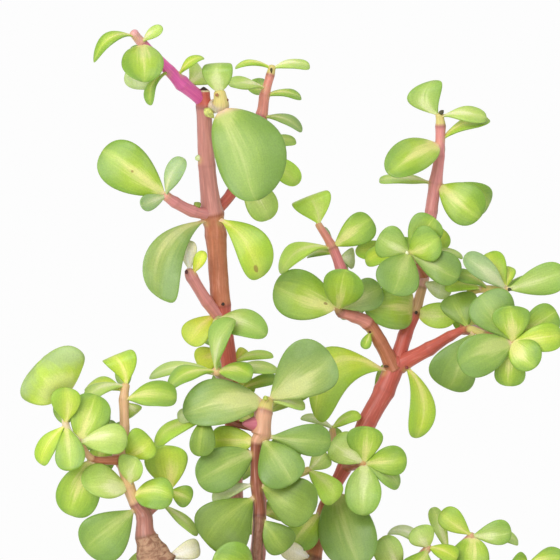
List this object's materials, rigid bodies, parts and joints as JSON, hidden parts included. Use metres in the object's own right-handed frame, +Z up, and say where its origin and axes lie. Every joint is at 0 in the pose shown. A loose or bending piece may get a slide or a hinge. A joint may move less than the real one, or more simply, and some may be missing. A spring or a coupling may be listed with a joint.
{
  "type": "potted elephant bush",
  "caption": "Branching succulent bush with thick rounded leaves on jointed pink stems, growing in potting mix in a plain round clay pot.",
  "frame": {"origin": "centre of the flat underside of the pot", "axes": "+Z up along the pot's axis; -Y is the side the plant is seen from, +X to its right"},
  "size_m": [0.1547, 0.11, 0.2912],
  "materials": {
    "terracotta": "unglazed, matt",
    "potting_mix": "crumbly, matt",
    "stem": "smooth pink skin, woody brown at the foot",
    "leaf": "waxy, soft gloss, pale middle stripe"
  },
  "bodies": {
    "root": {"back_stem": "stem", "front_stem": "stem", "leaf_back_10": "leaf", "leaf_back_11": "leaf", "leaf_back_5": "leaf", "leaf_back_7": "leaf", "leaf_back_9": "leaf", "leaf_crown_1": "leaf", "leaf_front_1": "leaf", "leaf_front_10": "leaf", "leaf_front_12": "leaf", "leaf_front_15": "leaf", "leaf_front_17": "leaf", "leaf_front_2": "leaf", "leaf_front_5": "leaf", "leaf_front_6": "leaf", "leaf_front_8": "leaf", "leaf_front_9": "leaf", "leaf_front_left_2": "leaf", "leaf_left_1": "leaf", "leaf_left_7": "leaf", "leaf_left_8": "leaf", "leaf_left_9": "leaf", "leaf_left_out_6": "leaf", "leaf_left_side_twig_5": "leaf", "leaf_left_up_6": "leaf", "leaf_left_up_7": "leaf", "leaf_mid_left_1": "leaf", "leaf_mid_left_4": "leaf", "leaf_middle_rosette_9": "leaf", "leaf_pale_stub_1": "leaf", "leaf_right_1": "leaf", "leaf_right_2": "leaf", "leaf_right_3": "leaf", "leaf_right_6": "leaf", "leaf_right_7": "leaf", "leaf_right_left_arm_1": "leaf", "leaf_right_left_top_3": "leaf", "leaf_right_middle_arm_12": "leaf", "leaf_right_middle_arm_13": "leaf", "leaf_right_middle_arm_4": "leaf", "leaf_right_middle_arm_7": "leaf", "leaf_right_middle_arm_8": "leaf", "leaf_right_right_arm_1": "leaf", "leaf_right_right_arm_10": "leaf", "leaf_right_right_arm_8": "leaf", "leaf_right_upper_twig_2": "leaf", "leaf_top_right_10": "leaf", "leaf_top_right_6": "leaf", "leaf_trunk_1": "leaf", "leaf_trunk_2": "leaf", "leaf_viewer_shoot_4": "leaf", "left_stem": "stem", "low_right_stem": "stem", "pot": "terracotta", "right_stem": "stem", "soil": "potting_mix", "tall_centre_stem": "stem"}
  },
  "joints": []
}
